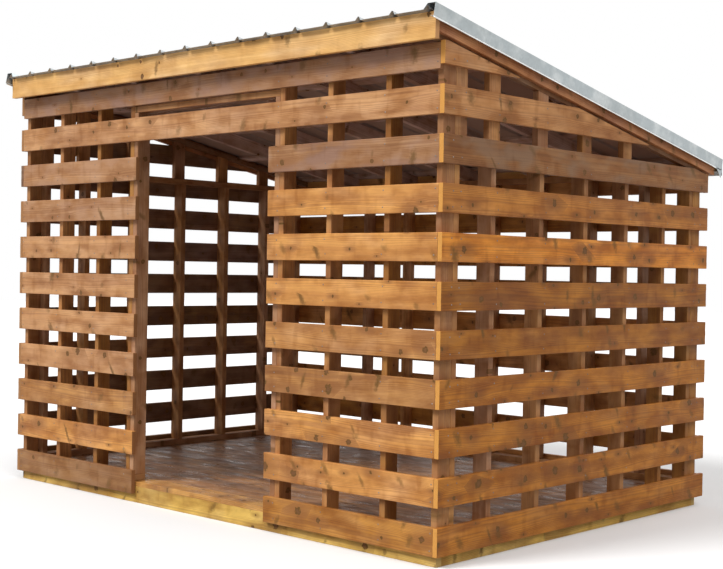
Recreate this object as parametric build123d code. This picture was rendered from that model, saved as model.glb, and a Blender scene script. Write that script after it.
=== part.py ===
"""Open slatted firewood store with a lean-to roof, built as separate timbers.

Millimetres. X runs along the front from left to right, Y from the front to the
back, Z up from the ground. The origin is the middle of the base at ground level.
Every piece is one solid in a node of its own, or shares a node with like pieces
that it doesn't touch.
"""
import os
from math import cos, radians, sqrt, tan

from build123d import *

# Overall sizes
frame_width = 3658          # outside of the framing, left to right
frame_depth = 2438          # outside of the framing, front to back
front_height = 2516         # ground to the rafters, at the outside of the front wall
roof_angle = 10.8           # fall of the roof towards the back, degrees

# Timber sections
stud_thickness = 38
stud_depth = 89
board_thickness = 28        # wall slats, fascias and barge boards
slat_height = 140
header_height = 126         # front board ripped to pass under the rafters
rim_height = 98
rim_thickness = 38
deck_thickness = 27
deck_board_width = 140
rafter_thickness = 38
rafter_depth = 89
batten_thickness = 19       # roof battens, laid flat across the rafters
batten_width = 89

# Base
joist_spacing = 406
deck_gap = 3.6              # least gap between deck boards
side_rim_joint = 880        # right rim: front corner to the butt joint

# Wall frames
front_stud_spacing = 412    # from the left corner to stud centres
side_first_stud = 392       # from the front corner to the first stud between the corners
left_first_stud = 416       # the same in the left wall
side_stud_spacing = 406
back_stud_spacing = 405
back_first_stud = 454       # from the left corner to the first stud between the corners
shortest_gable_stud = 100   # least height over a side top plate that gets a stud

# Doorway
door_width = 1233           # between the jack studs
door_centre = 14            # offset of the doorway to the right of the middle
door_slat_overhang = 22     # slat ends past the jack studs, into the doorway
lintel_gap = 2              # flat lintel below the level of the header board

# Slats
first_slat_bottom = 54
slat_pitch = 235.5
header_gap = 2              # header board below the top of the front wall
narrowest_slat = 40         # least height of a slat ripped or cut under the roof
side_slat_back_overhang = 22
slat_to_rafter_gap = 1      # cut slats below the line of the rafters' undersides
slat_to_barge_gap = 1       # cut slats below the barge board, where they reach up to it

# Roof timbers
rafter_spacing = 610
batten_count = 5
batten_to_fascia_gap = 1
barge_rise = 24             # barge boards above the undersides of the rafters
left_rafter_depth = 38      # shallow end rafter behind the left barge board
rafter_tail = 72            # rafter ends past the wall frames, front and back
fascia_drop = 12            # fascias below the undersides of the rafter ends
barge_past_fascia = 21      # barge boards past the back fascia

# Ribbed roof sheets
nominal_cover = 914         # covered width of a stock sheet
ribs_per_sheet = 4
sheet_thickness = 0.7
sheet_front = 31            # high edge of the sheets past the front fascia
sheet_back = 85             # low edge of the sheets past the back fascia
rib_height = 19
rib_base = 36
rib_crest = 8
sheet_lip = 3               # flat edge outside the outermost ribs
lap_step = 0.5              # room at the foot of a lapped rib

# Sheet metal trims
trim_thickness = 1.0
trim_gap = 21               # barge board to the outside of a gable trim
trim_over_ribs = 11         # top of a gable trim above the ribs
trim_drop = 36              # gable trim below the sheets
trim_top_width = 50
trim_slope_width = 22
trim_flange = 14            # flat foot on the sheets
trim_clearance = 0.3
eave_flange = 50
eave_leg = 72
eave_return = 26
tab_length = 78             # gable trim tab that closes the end of the eave trim
tab_setback = 20            # lowest corner of the tab in from its end
tab_drop = 52

# Worked out from the values above
half_width = frame_width / 2
half_depth = frame_depth / 2
slope = tan(radians(roof_angle))
plumb = 1 / cos(radians(roof_angle))        # vertical size of a sloping thickness of 1
deck_top = rim_height + deck_thickness
plate_top = deck_top + stud_thickness
door_left = door_centre - door_width / 2
door_right = door_centre + door_width / 2
rafter_end = half_depth + rafter_tail
fascia_face = rafter_end + board_thickness
barge_face = half_width + board_thickness
header_bottom = front_height - header_gap - header_height
lintel_bottom = header_bottom - lintel_gap - stud_thickness
sheet_count = round(frame_width / nominal_cover)
sheet_cover = frame_width / sheet_count
rib_pitch = sheet_cover / ribs_per_sheet
trim_outside = barge_face + trim_gap
trim_rise = rib_height + trim_over_ribs
back_plate_inside = half_depth - stud_depth
left_rafter_lift = (rafter_depth - left_rafter_depth) * plumb


def rafter_bottom(y):
    """Height of the underside of the rafters at a depth y."""
    return front_height - (y + half_depth) * slope


def rafter_top(y):
    """Height of the top of the rafters at a depth y."""
    return rafter_bottom(y) + rafter_depth * plumb


def roof_height(y, above=0):
    """Height at a depth y of a plane a square distance above the battens."""
    return rafter_top(y) + (batten_thickness + above) * plumb


back_height = rafter_bottom(back_plate_inside)


def block(x0, x1, y0, y1, z0, z1):
    """A squared timber between two corners."""
    middle = Pos((x0 + x1) / 2, (y0 + y1) / 2, (z0 + z1) / 2)
    return middle * Box(x1 - x0, y1 - y0, z1 - z0)


def side_prism(outline, x0, x1):
    """A side-view outline of (y, z) points, made solid from x0 to x1."""
    face = Plane.YZ.offset(x0) * make_face(Polyline(*outline, close=True))
    return extrude(face, amount=x1 - x0, dir=(1, 0, 0))


def below_slope(lowering=0):
    """The space under the rafters, as wide and long as the roof."""
    front, back = -2 * half_depth, 2 * half_depth
    outline = [
        (front, 0),
        (back, 0),
        (back, rafter_bottom(back) - lowering),
        (front, rafter_bottom(front) - lowering),
    ]
    return side_prism(outline, -frame_width, frame_width)


def write(node, *pieces):
    """Write one node: a single solid, or like solids that don't touch."""
    solids = [solid for piece in pieces for solid in piece.solids()]
    shape = solids[0] if len(solids) == 1 else Compound(children=solids)
    export_step(shape, os.path.join("parts", node + ".step"))


def mirrored(piece):
    """The same piece on the left side."""
    return mirror(piece, about=Plane.YZ)


# ---------------------------------------------------------------- base


def base():
    """Rim joists, floor joists and deck boards, flush with the frame."""
    inside = half_depth - rim_thickness
    joint = -half_depth + side_rim_joint
    front_rim = block(-half_width, half_width, -half_depth, -inside, 0, rim_height)
    write("front_rim_joist", front_rim)
    write("back_rim_joist", mirror(front_rim, about=Plane.XZ))
    x_in, x_out = half_width - rim_thickness, half_width
    write("left_rim_joist", block(-x_out, -x_in, -inside, inside, 0, rim_height))
    write("right_front_rim_joist", block(x_in, x_out, -inside, joint, 0, rim_height))
    write("right_back_rim_joist", block(x_in, x_out, joint, inside, 0, rim_height))

    pairs = int((x_in - rim_thickness) // joist_spacing)
    centres = [joist_spacing * k for k in range(-pairs, pairs + 1)]
    half = rim_thickness / 2
    joists = [block(x - half, x + half, -inside, inside, 0, rim_height) for x in centres]
    write("floor_joists", *joists)


def deck():
    """Deck boards along the front, spread evenly from front to back."""
    count = int((frame_depth + deck_gap) // (deck_board_width + deck_gap))
    pitch = (frame_depth - deck_board_width) / (count - 1)
    boards = []
    for k in range(count):
        y = pitch * k - half_depth
        y_end = y + deck_board_width
        boards.append(block(-half_width, half_width, y, y_end, rim_height, deck_top))
    write("front_deck_board", boards[0])
    write("deck_boards", *boards[1:])


# ---------------------------------------------------------------- wall frames


def upright(x, y, top, across=stud_thickness, along=stud_depth):
    """A stud on a bottom plate, centred at (x, y)."""
    return block(x - across / 2, x + across / 2, y - along / 2, y + along / 2, plate_top, top)


def studs_between(low, high, first, spacing):
    """Evenly spaced stud centres, clear of the studs at both ends of a panel."""
    count = int((high - first) // spacing) + 1
    centres = [first + spacing * k for k in range(count)]
    return [c for c in centres if low + stud_depth < c < high - stud_depth]


def front_frame():
    """Plates, studs and the framed doorway of the high front wall."""
    y0, y1 = -half_depth, -half_depth + stud_depth
    y = (y0 + y1) / 2
    stud_top = front_height - stud_thickness
    write("front_left_bottom_plate", block(-half_width, door_left, y0, y1, deck_top, plate_top))
    write("front_right_bottom_plate", block(door_right, half_width, y0, y1, deck_top, plate_top))
    write("front_top_plate", block(-half_width, half_width, y0, y1, stud_top, front_height))

    half = stud_thickness / 2
    corner = half_width - half
    jacks = (door_left - half, door_right + half)
    kings = (jacks[0] - stud_thickness, jacks[1] + stud_thickness)
    spacing = front_stud_spacing
    left = studs_between(-corner, kings[0], spacing - half_width, spacing)
    right = studs_between(kings[1], corner, spacing - half_width, spacing)
    write("front_left_studs", *[upright(x, y, stud_top) for x in [-corner] + left])
    write("front_right_studs", *[upright(x, y, stud_top) for x in right + [corner]])
    write("door_jack_studs", *[upright(x, y, lintel_bottom) for x in jacks])
    write("door_king_studs", *[upright(x, y, stud_top) for x in kings])
    lintel_top = lintel_bottom + stud_thickness
    lintel = block(kings[0] + half, kings[1] - half, y0, y1, lintel_bottom, lintel_top)
    write("door_lintel", lintel)


def back_frame():
    """Plates and studs of the low back wall."""
    y0, y1 = back_plate_inside, half_depth
    y = (y0 + y1) / 2
    stud_top = back_height - stud_thickness
    write("back_bottom_plate", block(-half_width, half_width, y0, y1, deck_top, plate_top))
    write("back_top_plate", block(-half_width, half_width, y0, y1, stud_top, back_height))
    corner = half_width - stud_thickness / 2
    middle = studs_between(-corner, corner, back_first_stud - half_width, back_stud_spacing)
    write("back_studs", *[upright(x, y, stud_top) for x in [-corner] + middle + [corner]])


def side_studs(first, lift=0):
    """Studs of a side wall, and flat studs up to an end rafter a height above the others."""
    inside = half_depth - stud_depth
    end = inside - stud_thickness / 2
    middle = studs_between(-end, end, first - half_depth, side_stud_spacing)
    x = half_width - stud_depth / 2
    stud_top = back_height - stud_thickness
    studs = []
    for y in [-end] + middle + [end]:
        studs.append(upright(x, y, stud_top, across=stud_depth, along=stud_thickness))

    x0, x1 = half_width - stud_thickness, half_width
    roof_line = below_slope(-lift)
    gable_studs = []
    for y in [stud_depth / 2 - inside] + middle:
        if rafter_bottom(y) + lift - back_height >= shortest_gable_stud:
            y0, y1 = y - stud_depth / 2, y + stud_depth / 2
            full = block(x0, x1, y0, y1, back_height, front_height + lift)
            gable_studs.append(full & roof_line)
    return studs, gable_studs


def side_frames():
    """Plates and studs of the side walls."""
    inside = half_depth - stud_depth
    x0, x1 = half_width - stud_depth, half_width
    stud_top = back_height - stud_thickness
    write("right_bottom_plate", block(x0, x1, -inside, inside, deck_top, plate_top))
    write("left_bottom_plate", block(-x1, -x0, -inside, inside, deck_top, plate_top))
    write("right_top_plate", block(x0, x1, -inside, inside, stud_top, back_height))
    write("left_top_plate", block(-x1, -x0, -inside, inside, stud_top, back_height))

    studs, gable_studs = side_studs(side_first_stud)
    write("right_studs", *studs)
    write("right_gable_studs", *gable_studs)
    studs, gable_studs = side_studs(left_first_stud, left_rafter_lift)
    write("left_studs", *[mirrored(stud) for stud in studs])
    write("left_gable_studs", *[mirrored(stud) for stud in gable_studs])


# ---------------------------------------------------------------- slats


def slat_bottoms(limit, least=narrowest_slat):
    """Lower edges of the rows of slats with at least a least height below a limit."""
    count = int((limit - least - first_slat_bottom) // slat_pitch) + 1
    return [first_slat_bottom + slat_pitch * k for k in range(count)]


def front_slats():
    """Short slats beside the doorway, one full slat over it and the header board."""
    y0, y1 = -half_depth - board_thickness, -half_depth

    def row(x0, x1, z, height=slat_height):
        return block(x0, x1, y0, y1, z, z + height)

    *beside_door, over_door = slat_bottoms(header_bottom, slat_height)
    left_end = door_left + door_slat_overhang
    right_end = door_right - door_slat_overhang
    write("front_left_slats", *[row(-half_width, left_end, z) for z in beside_door])
    write("front_right_slats", *[row(right_end, half_width, z) for z in beside_door])
    write("door_head_slat", row(-half_width, half_width, over_door))
    header = row(-half_width, half_width, header_bottom, header_height)
    write("front_header_board", header)


def back_slats():
    """Full slats across the back; the top one is ripped to pass under the rafters."""
    y0, y1 = half_depth, half_depth + board_thickness
    limit = rafter_bottom(y1)
    rows = []
    for z in slat_bottoms(limit):
        top = min(z + slat_height, limit)
        rows.append(block(-half_width, half_width, y0, y1, z, top))
    write("back_slats", *rows)


def side_rows(lowering):
    """Slats of a side wall, cut along a slope below the undersides of the rafters."""
    y0 = -half_depth - board_thickness
    y1 = half_depth + board_thickness + side_slat_back_overhang
    roof_line = below_slope(lowering)
    rows = []
    for z in slat_bottoms(rafter_bottom(-half_depth) - lowering):
        slat = block(half_width, barge_face, y0, y1, z, z + slat_height)
        rows.append(slat & roof_line)
    return rows


def side_slats():
    """Slats that cover the ends of the front and back ones, cut under the roof."""
    write("right_slats", *side_rows(slat_to_rafter_gap))
    left = side_rows(slat_to_barge_gap - barge_rise)
    write("left_slats", *[mirrored(slat) for slat in left])


# ---------------------------------------------------------------- roof timbers


def rafter(x):
    """A rafter with plumb ends, notched over the front and back top plates."""
    outline = [
        (-rafter_end, rafter_bottom(-rafter_end)),
        (-half_depth, front_height),
        (stud_depth - half_depth, front_height),
        (stud_depth - half_depth, rafter_bottom(stud_depth - half_depth)),
        (back_plate_inside, back_height),
        (half_depth, back_height),
        (half_depth, rafter_bottom(half_depth)),
        (rafter_end, rafter_bottom(rafter_end)),
        (rafter_end, rafter_top(rafter_end)),
        (-rafter_end, rafter_top(-rafter_end)),
    ]
    return side_prism(outline, x - rafter_thickness / 2, x + rafter_thickness / 2)


def shallow_rafter(x, lift):
    """A straight rafter with plumb ends, its underside a height above the others."""
    outline = [
        (-rafter_end, rafter_bottom(-rafter_end) + lift),
        (rafter_end, rafter_bottom(rafter_end) + lift),
        (rafter_end, rafter_top(rafter_end)),
        (-rafter_end, rafter_top(-rafter_end)),
    ]
    return side_prism(outline, x - rafter_thickness / 2, x + rafter_thickness / 2)


def battens():
    """Battens across the rafters, spread evenly from fascia to fascia."""
    width, lean = batten_width / plumb, batten_thickness * slope / plumb
    rise = batten_thickness / plumb
    first = batten_to_fascia_gap - rafter_end
    last = rafter_end - batten_to_fascia_gap - lean - width
    pitch = (last - first) / (batten_count - 1)
    pieces = []
    for k in range(batten_count):
        y0 = first + pitch * k
        y1 = y0 + width
        outline = [
            (y0, rafter_top(y0)),
            (y1, rafter_top(y1)),
            (y1 + lean, rafter_top(y1) + rise),
            (y0 + lean, rafter_top(y0) + rise),
        ]
        pieces.append(side_prism(outline, -half_width, half_width))
    write("roof_battens", *pieces)


def fascia(inside, outside):
    """The side view of a level fascia between two depths, its top cut to the slope."""
    bottom = rafter_bottom(inside) - fascia_drop
    return [
        (outside, bottom),
        (inside, bottom),
        (inside, roof_height(inside)),
        (outside, roof_height(outside)),
    ]


def roof_timbers():
    """Rafters, battens, fascias across the ends and barge boards along the gables."""
    end = half_width - rafter_thickness / 2
    pairs = int((end - rafter_thickness) // rafter_spacing)
    write("rafters", *[rafter(rafter_spacing * k) for k in range(-pairs, pairs + 1)])
    write("right_end_rafter", rafter(end))
    write("left_end_rafter", mirrored(shallow_rafter(end, left_rafter_lift)))
    battens()

    barge_end = fascia_face + barge_past_fascia
    barge_outline = [
        (-rafter_end, rafter_bottom(-rafter_end) + barge_rise),
        (barge_end, rafter_bottom(barge_end) + barge_rise),
        (barge_end, roof_height(barge_end)),
        (-rafter_end, roof_height(-rafter_end)),
    ]
    barge = side_prism(barge_outline, half_width, barge_face)
    write("right_barge_board", barge)
    write("left_barge_board", mirrored(barge))

    front = fascia(-rafter_end, -fascia_face)
    write("front_fascia", side_prism(front, -barge_face, barge_face))
    back = fascia(rafter_end, fascia_face)
    write("back_fascia", side_prism(back, -half_width, half_width))


# ---------------------------------------------------------------- roof metal

sheet_back_edge = fascia_face + sheet_back
slope_length = (sheet_back_edge + fascia_face + sheet_front) * plumb
roof_plane = Plane(
    origin=(0, sheet_back_edge, roof_height(sheet_back_edge)),
    x_dir=(1, 0, 0),
    z_dir=(0, -cos(radians(roof_angle)), slope / plumb),
)


def along_roof(outline):
    """An outline across the roof, made solid from the low edge to the high edge."""
    face = roof_plane * make_face(Polyline(*outline, close=True))
    return extrude(face, amount=slope_length, dir=roof_plane.z_dir)


def thickened(line, thickness):
    """The outline of a folded sheet: a line and its copy a thickness higher."""
    return line + [(x, z + thickness) for x, z in reversed(line)]


def rib(centre, lift=0):
    """One pointed rib, from foot to foot."""
    foot, crest = rib_base / 2, rib_crest / 2
    return [
        (centre - foot, lift),
        (centre - crest, lift + rib_height),
        (centre + crest, lift + rib_height),
        (centre + foot, lift),
    ]


def roof_sheets():
    """Ribbed panels whose first rib laps the last rib of the panel before."""
    start = -sheet_count * sheet_cover / 2
    for number in range(sheet_count):
        first = start + number * sheet_cover
        if number:
            foot = first + rib_base / 2
            line = rib(first, sheet_thickness)
            line += [(foot + lap_step, sheet_thickness), (foot + 2 * lap_step, 0)]
        else:
            line = [(first - rib_base / 2 - sheet_lip, 0)] + rib(first)
        for k in range(1, ribs_per_sheet + 1):
            line += rib(first + k * rib_pitch)
        if number == sheet_count - 1:
            line.append((line[-1][0] + sheet_lip, 0))
        write(f"roof_sheet_{number + 1}", along_roof(thickened(line, sheet_thickness)))


def gable_trim():
    """Right gable trim: a foot on the sheets, a raised top and a dropped face."""
    outer = trim_outside
    board_side = barge_face + trim_clearance
    inner = outer - trim_top_width
    foot = inner - trim_slope_width
    t = trim_thickness
    seat = sheet_thickness
    outline = [
        (foot - trim_flange, seat),
        (foot, seat),
        (inner, trim_rise - t),
        (outer - t, trim_rise - t),
        (outer - t, t - trim_drop),
        (board_side, t - trim_drop),
        (board_side, -trim_drop),
        (outer, -trim_drop),
        (outer, trim_rise),
        (inner - t, trim_rise),
        (foot - t, seat + t),
        (foot - trim_flange, seat + t),
    ]
    y_end = sheet_back_edge
    z_end = roof_height(y_end, -trim_drop)
    tab_outline = [
        (y_end - tab_length, z_end + tab_length * slope),
        (y_end - tab_setback, z_end - tab_drop),
        (y_end, z_end),
    ]
    tab = side_prism(tab_outline, outer - t, outer)
    return along_roof(outline) + tab


def eave_trim():
    """Apron under the low edge of the sheets, with a slanted drip return."""
    t = trim_thickness
    outside = trim_outside - t - trim_clearance
    edge, inner = sheet_back_edge, sheet_back_edge - eave_flange
    bottom = roof_height(edge) - eave_leg
    return_top = bottom + eave_return
    mitre = t * sqrt(2)         # upright size of the return, which is folded in at 45 degrees
    outline = [
        (inner, roof_height(inner)),
        (edge, roof_height(edge)),
        (edge, bottom),
        (edge - eave_return, return_top),
        (edge - eave_return, return_top + mitre),
        (edge - t, bottom + t + mitre),
        (edge - t, roof_height(edge - t) - t),
        (inner, roof_height(inner) - t),
    ]
    return side_prism(outline, -outside, outside)


def roof_metal():
    """Ribbed sheets, a trim along each gable and the eave trim."""
    roof_sheets()
    trim = gable_trim()
    write("right_gable_trim", trim)
    write("left_gable_trim", mirrored(trim))
    write("back_eave_trim", eave_trim())


os.makedirs("parts", exist_ok=True)
base()
deck()
front_frame()
back_frame()
side_frames()
front_slats()
back_slats()
side_slats()
roof_timbers()
roof_metal()
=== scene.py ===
"""Studio model of a slatted firewood store with a lean-to roof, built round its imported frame.

Every timber is a board of its own with eased edges, and nails and screws hold the
boards. The folded sheets and trims stay, with hems and fixings added. Sizes are in
metres: X runs along the front, Y to the back and Z up.
"""
import logging
import math
import random
from contextlib import contextmanager
from dataclasses import dataclass, field
from enum import Enum
from typing import Callable, Iterator, Sequence, Union

import bpy
import numpy as np
from mathutils import Matrix, Vector


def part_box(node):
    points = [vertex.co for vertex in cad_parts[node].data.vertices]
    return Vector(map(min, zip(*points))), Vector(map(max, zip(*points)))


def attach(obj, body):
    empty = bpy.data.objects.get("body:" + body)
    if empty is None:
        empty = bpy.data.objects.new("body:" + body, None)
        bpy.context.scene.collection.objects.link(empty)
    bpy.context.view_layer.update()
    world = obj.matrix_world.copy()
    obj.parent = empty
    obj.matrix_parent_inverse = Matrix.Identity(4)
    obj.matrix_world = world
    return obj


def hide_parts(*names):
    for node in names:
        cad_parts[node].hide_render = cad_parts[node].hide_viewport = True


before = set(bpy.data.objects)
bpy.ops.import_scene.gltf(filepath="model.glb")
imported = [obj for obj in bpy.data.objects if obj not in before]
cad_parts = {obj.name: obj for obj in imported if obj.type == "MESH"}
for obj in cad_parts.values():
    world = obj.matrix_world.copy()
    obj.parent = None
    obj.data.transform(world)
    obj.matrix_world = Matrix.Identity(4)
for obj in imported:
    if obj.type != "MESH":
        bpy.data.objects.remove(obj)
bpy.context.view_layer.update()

BODY = "root"
SHARP = math.radians(40)
SMOOTH = math.radians(60)
MERGE_BELOW = 0.00002
WHITE = (1.0, 1.0, 1.0)

Colour = tuple[float, float, float]
Box = tuple[Vector, Vector]
Material = bpy.types.Material
Piece = bpy.types.Object
Socket = bpy.types.NodeSocket
Term = Union["Value", float]

log = logging.getLogger("firewood_store")


# ---------------- shader graphs


def _operator(kind: str, value_last: bool = False) -> Callable[..., "Value"]:
    """Makes a method that adds a Math node on a value and its terms.

    Args:
        kind: The Math node's operation.
        value_last: Whether the value itself goes in after its terms.

    Returns:
        The method.
    """
    def method(self: "Value", *terms: Term) -> "Value":
        """Adds the node."""
        return self.graph.math(kind, *((*terms, self) if value_last else (self, *terms)))
    return method


class Value:
    """A number in a shader graph; arithmetic on it adds Math nodes."""

    __add__, __radd__ = _operator("ADD"), _operator("ADD", True)
    __sub__, __rsub__ = _operator("SUBTRACT"), _operator("SUBTRACT", True)
    __mul__, __rmul__ = _operator("MULTIPLY"), _operator("MULTIPLY", True)
    __truediv__, __pow__ = _operator("DIVIDE"), _operator("POWER")
    at_most, at_least = _operator("MINIMUM"), _operator("MAXIMUM")
    root, fraction, size = _operator("SQRT"), _operator("FRACT"), _operator("ABSOLUTE")

    def __init__(self, graph: "Graph", socket: Socket) -> None:
        """Wraps an output socket of a graph."""
        self.graph = graph
        self.socket = socket

    def step(self, start: Term, end: Term) -> "Value":
        """A smooth rise from 0 at the start to 1 at the end.

        Args:
            start: The value that gives 0.
            end: The value that gives 1; it may be below the start.

        Returns:
            The risen value, between 0 and 1.
        """
        inputs = {"Value": self, "From Min": start, "From Max": end}
        node = self.graph.node("MapRange", {"interpolation_type": "SMOOTHSTEP"}, inputs)
        return self.graph.value(node)


class Graph:
    """The node tree of one material, or of the world."""

    def __init__(self, owner: Material | bpy.types.World) -> None:
        """Empties the node tree of its owner.

        Args:
            owner: What the tree shades.
        """
        self.owner = owner
        owner.use_nodes = True
        self.tree = owner.node_tree
        self.tree.nodes.clear()

    def node(self, kind: str, settings: dict | None = None,
             inputs: dict | None = None) -> bpy.types.Node:
        """Adds a node.

        Args:
            kind: The node's type without its ShaderNode prefix.
            settings: Properties of the node, set before its sockets.
            inputs: Socket names or numbers, with the value or link of each.

        Returns:
            The new node.
        """
        node = self.tree.nodes.new("ShaderNode" + kind)
        for key, setting in (settings or {}).items():
            setattr(node, key, setting)
        for key, value in (inputs or {}).items():
            self.feed(node.inputs[key], value)
        return node

    def feed(self, socket: Socket, value: object) -> None:
        """Links a socket, or sets it to a constant.

        Args:
            socket: The input socket.
            value: A Value, another node's output socket, or a constant.
        """
        if isinstance(value, Value):
            value = value.socket
        if isinstance(value, Socket):
            self.tree.links.new(value, socket)
        elif isinstance(value, tuple) and len(value) == 3 and socket.type == "RGBA":
            socket.default_value = (*value, 1.0)
        else:
            socket.default_value = value

    def value(self, node: bpy.types.Node, output: int | str = 0) -> Value:
        """Wraps one output of a node."""
        return Value(self, node.outputs[output])

    def math(self, operation: str, *terms: Term) -> Value:
        """Adds a Math node on up to three terms."""
        return self.value(self.node("Math", {"operation": operation}, dict(enumerate(terms))))

    def split(self, vector: Socket) -> list[Value]:
        """Takes a vector apart into its three numbers."""
        node = self.node("SeparateXYZ", inputs={0: vector})
        return [self.value(node, k) for k in range(3)]

    def vector(self, x: Term, y: Term, z: Term) -> Socket:
        """Puts three numbers together as a vector."""
        return self.node("CombineXYZ", inputs={0: x, 1: y, 2: z}).outputs[0]

    def noise(self, place: Socket, detail: float, scale: float = 1.0) -> Value:
        """Adds smooth noise, about 0.5 on average."""
        inputs = {"Vector": place, "Scale": scale, "Detail": detail}
        return self.value(self.node("TexNoise", inputs=inputs))

    def blend(self, factor: Term, first: object, second: object, way: str = "MIX") -> Socket:
        """Mixes two colours.

        Args:
            factor: How much of the second colour.
            first: The first colour or its socket.
            second: The second colour or its socket.
            way: The name of the blend, such as MULTIPLY.

        Returns:
            The mixed colour's socket.
        """
        settings = {"data_type": "RGBA", "blend_type": way, "clamp_factor": True}
        return self.node("Mix", settings, {0: factor, 6: first, 7: second}).outputs[2]

    def seen(self) -> Value:
        """Tells which rays the camera sees, straight, in a mirror or through glass.

        Returns:
            1 for such a ray and 0 for light that falls on something.
        """
        path = self.node("LightPath")
        camera, mirror, glass = (self.value(path, f"Is {kind} Ray")
                                 for kind in ("Camera", "Glossy", "Transmission"))
        return camera.at_least(mirror).at_least(glass)

    def scaled(self, colour: Socket, amount: Term) -> Socket:
        """Makes a colour lighter or darker."""
        node = self.node("VectorMath", {"operation": "SCALE"}, {0: colour, "Scale": amount})
        return node.outputs[0]

    def finish(self, colour: Socket, roughness: Value, height: Value, depth: float,
               metallic: Term = 0.0, specular: float = 0.5) -> Material:
        """Ends the graph in one surface.

        Args:
            colour: The base colour.
            roughness: The roughness.
            height: The height that the bump follows.
            depth: How deep a height of 1 is, in metres.
            metallic: 1 for bare metal.
            specular: The strength of the gloss.

        Returns:
            The finished material.
        """
        bump = self.node("Bump", inputs={"Strength": 1.0, "Distance": depth, "Height": height})
        surface = self.node("BsdfPrincipled", inputs={
            "Base Color": colour, "Roughness": roughness, "Metallic": metallic,
            "Specular IOR Level": specular, "Normal": bump.outputs[0]})
        self.node("OutputMaterial", inputs={"Surface": surface.outputs[0]})
        return self.owner


# ---------------- finishes


@dataclass(frozen=True)
class Stain:
    """How light a board's stain is, how grey and how warm, the last two from 0 to 1."""

    light: float
    grey: float
    warm: float


class Tone(Stain, Enum):
    """The stains that the boards were given."""

    AMBER = 1.45, 0.00, 0.95
    HONEY = 1.04, 0.00, 0.70
    GOLD = 1.12, 0.00, 0.50
    TAN = 0.90, 0.05, 0.65
    SAND = 0.98, 0.10, 0.30
    PALE = 0.92, 0.25, 0.15
    BRONZE = 0.80, 0.05, 0.65
    RUST = 0.79, 0.00, 1.00
    CHESTNUT = 0.94, 0.00, 1.00
    UMBER = 0.60, 0.20, 0.55
    ROSE = 1.32, 0.24, 0.00
    DUSTY = 1.18, 0.14, 0.10
    ASH = 0.87, 0.45, 0.00
    GREY = 0.82, 0.46, 0.15


DRAWN_TONES = (Tone.TAN, Tone.HONEY, Tone.RUST, Tone.TAN, Tone.SAND)


@dataclass(frozen=True)
class Grain:
    """A place along, across and through its board, in metres, and the board's own seed."""

    graph: Graph
    along: Value
    across: Value
    through: Value
    seed: Value

    def draw(self, spread: float) -> Value:
        """One of the board's random numbers, from 0 to 1."""
        return (self.seed * spread).fraction()


@dataclass(frozen=True)
class Layer:
    """Noise drawn out along the grain, in changes a metre, that the seed may shift."""

    along: float
    across: float
    detail: float
    seed_across: float = 0.0
    seed_through: float = 0.0

    def on(self, grain: Grain) -> Value:
        """Adds the noise at a place on a board.

        Args:
            grain: The place on the board.

        Returns:
            The noise, about 0.5 on average.
        """
        across, through = grain.across * self.across, grain.through * self.across
        if self.seed_across:
            across = across + grain.seed * self.seed_across
        if self.seed_through:
            through = through + grain.seed * self.seed_through
        place = grain.graph.vector(grain.along * self.along, across, through)
        return grain.graph.noise(place, detail=self.detail)


STREAK = Layer(1.3, 19.0, 4.0)
FIBRE = Layer(9.0, 260.0, 3.0)
CLOUD = Layer(2.6, 6.0, 2.5, seed_through=9.0)
PATCH = Layer(5.5, 11.0, 3.0, seed_across=5.0)
BAND = Layer(15.0, 4.5, 2.0, seed_through=7.0)
SAW_COMB = Layer(240.0, 5.0, 1.0)


@dataclass(frozen=True)
class Spots:
    """Spots strewn over a board, one to a cell, with ragged rims."""

    per_metre: float
    per_width: float
    shift: float
    level: float
    randomness: float
    rag: tuple[float, float, float]

    def near(self, grain: Grain, lean: Value | float = 0.0) -> tuple[Value, ...]:
        """Finds the spot of the cell that a place is in.

        Args:
            grain: The place.
            lean: How far the cells lean along the grain, a metre across the board.

        Returns:
            The way from the spot along and across the board, in metres, and its three
            random numbers.
        """
        g = grain.graph
        along = grain.along + grain.across * lean if lean else grain.along
        place = g.vector(along * self.per_metre,
                         grain.across * self.per_width + grain.seed * self.shift, self.level)
        cell = g.node("TexVoronoi", {"voronoi_dimensions": "2D", "feature": "F1"},
                      {"Vector": place, "Scale": 1.0, "Randomness": self.randomness})
        px, py, _ = g.split(place)
        cx, cy, _ = g.split(cell.outputs["Position"])
        return ((px - cx) / self.per_metre, (py - cy) / self.per_width,
                *g.split(cell.outputs["Color"]))

    def ragged(self, grain: Grain) -> Value:
        """Pulls a spot's rim in and out.

        Args:
            grain: The place on the board.

        Returns:
            How far it is pulled, from about -0.5 to 0.5.
        """
        scale, shift, detail = self.rag
        place = grain.graph.vector(grain.along * scale, grain.across * scale,
                                   grain.seed * shift)
        return grain.graph.noise(place, detail=detail) - 0.5


KNOTS = Spots(4.8, 9.0, 23.0, 0.0, 0.9, rag=(80.0, 3.0, 3.0))
SMUDGES = Spots(3.6, 7.0, 31.0, 3.0, 1.0, rag=(60.0, 7.0, 2.0))


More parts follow.
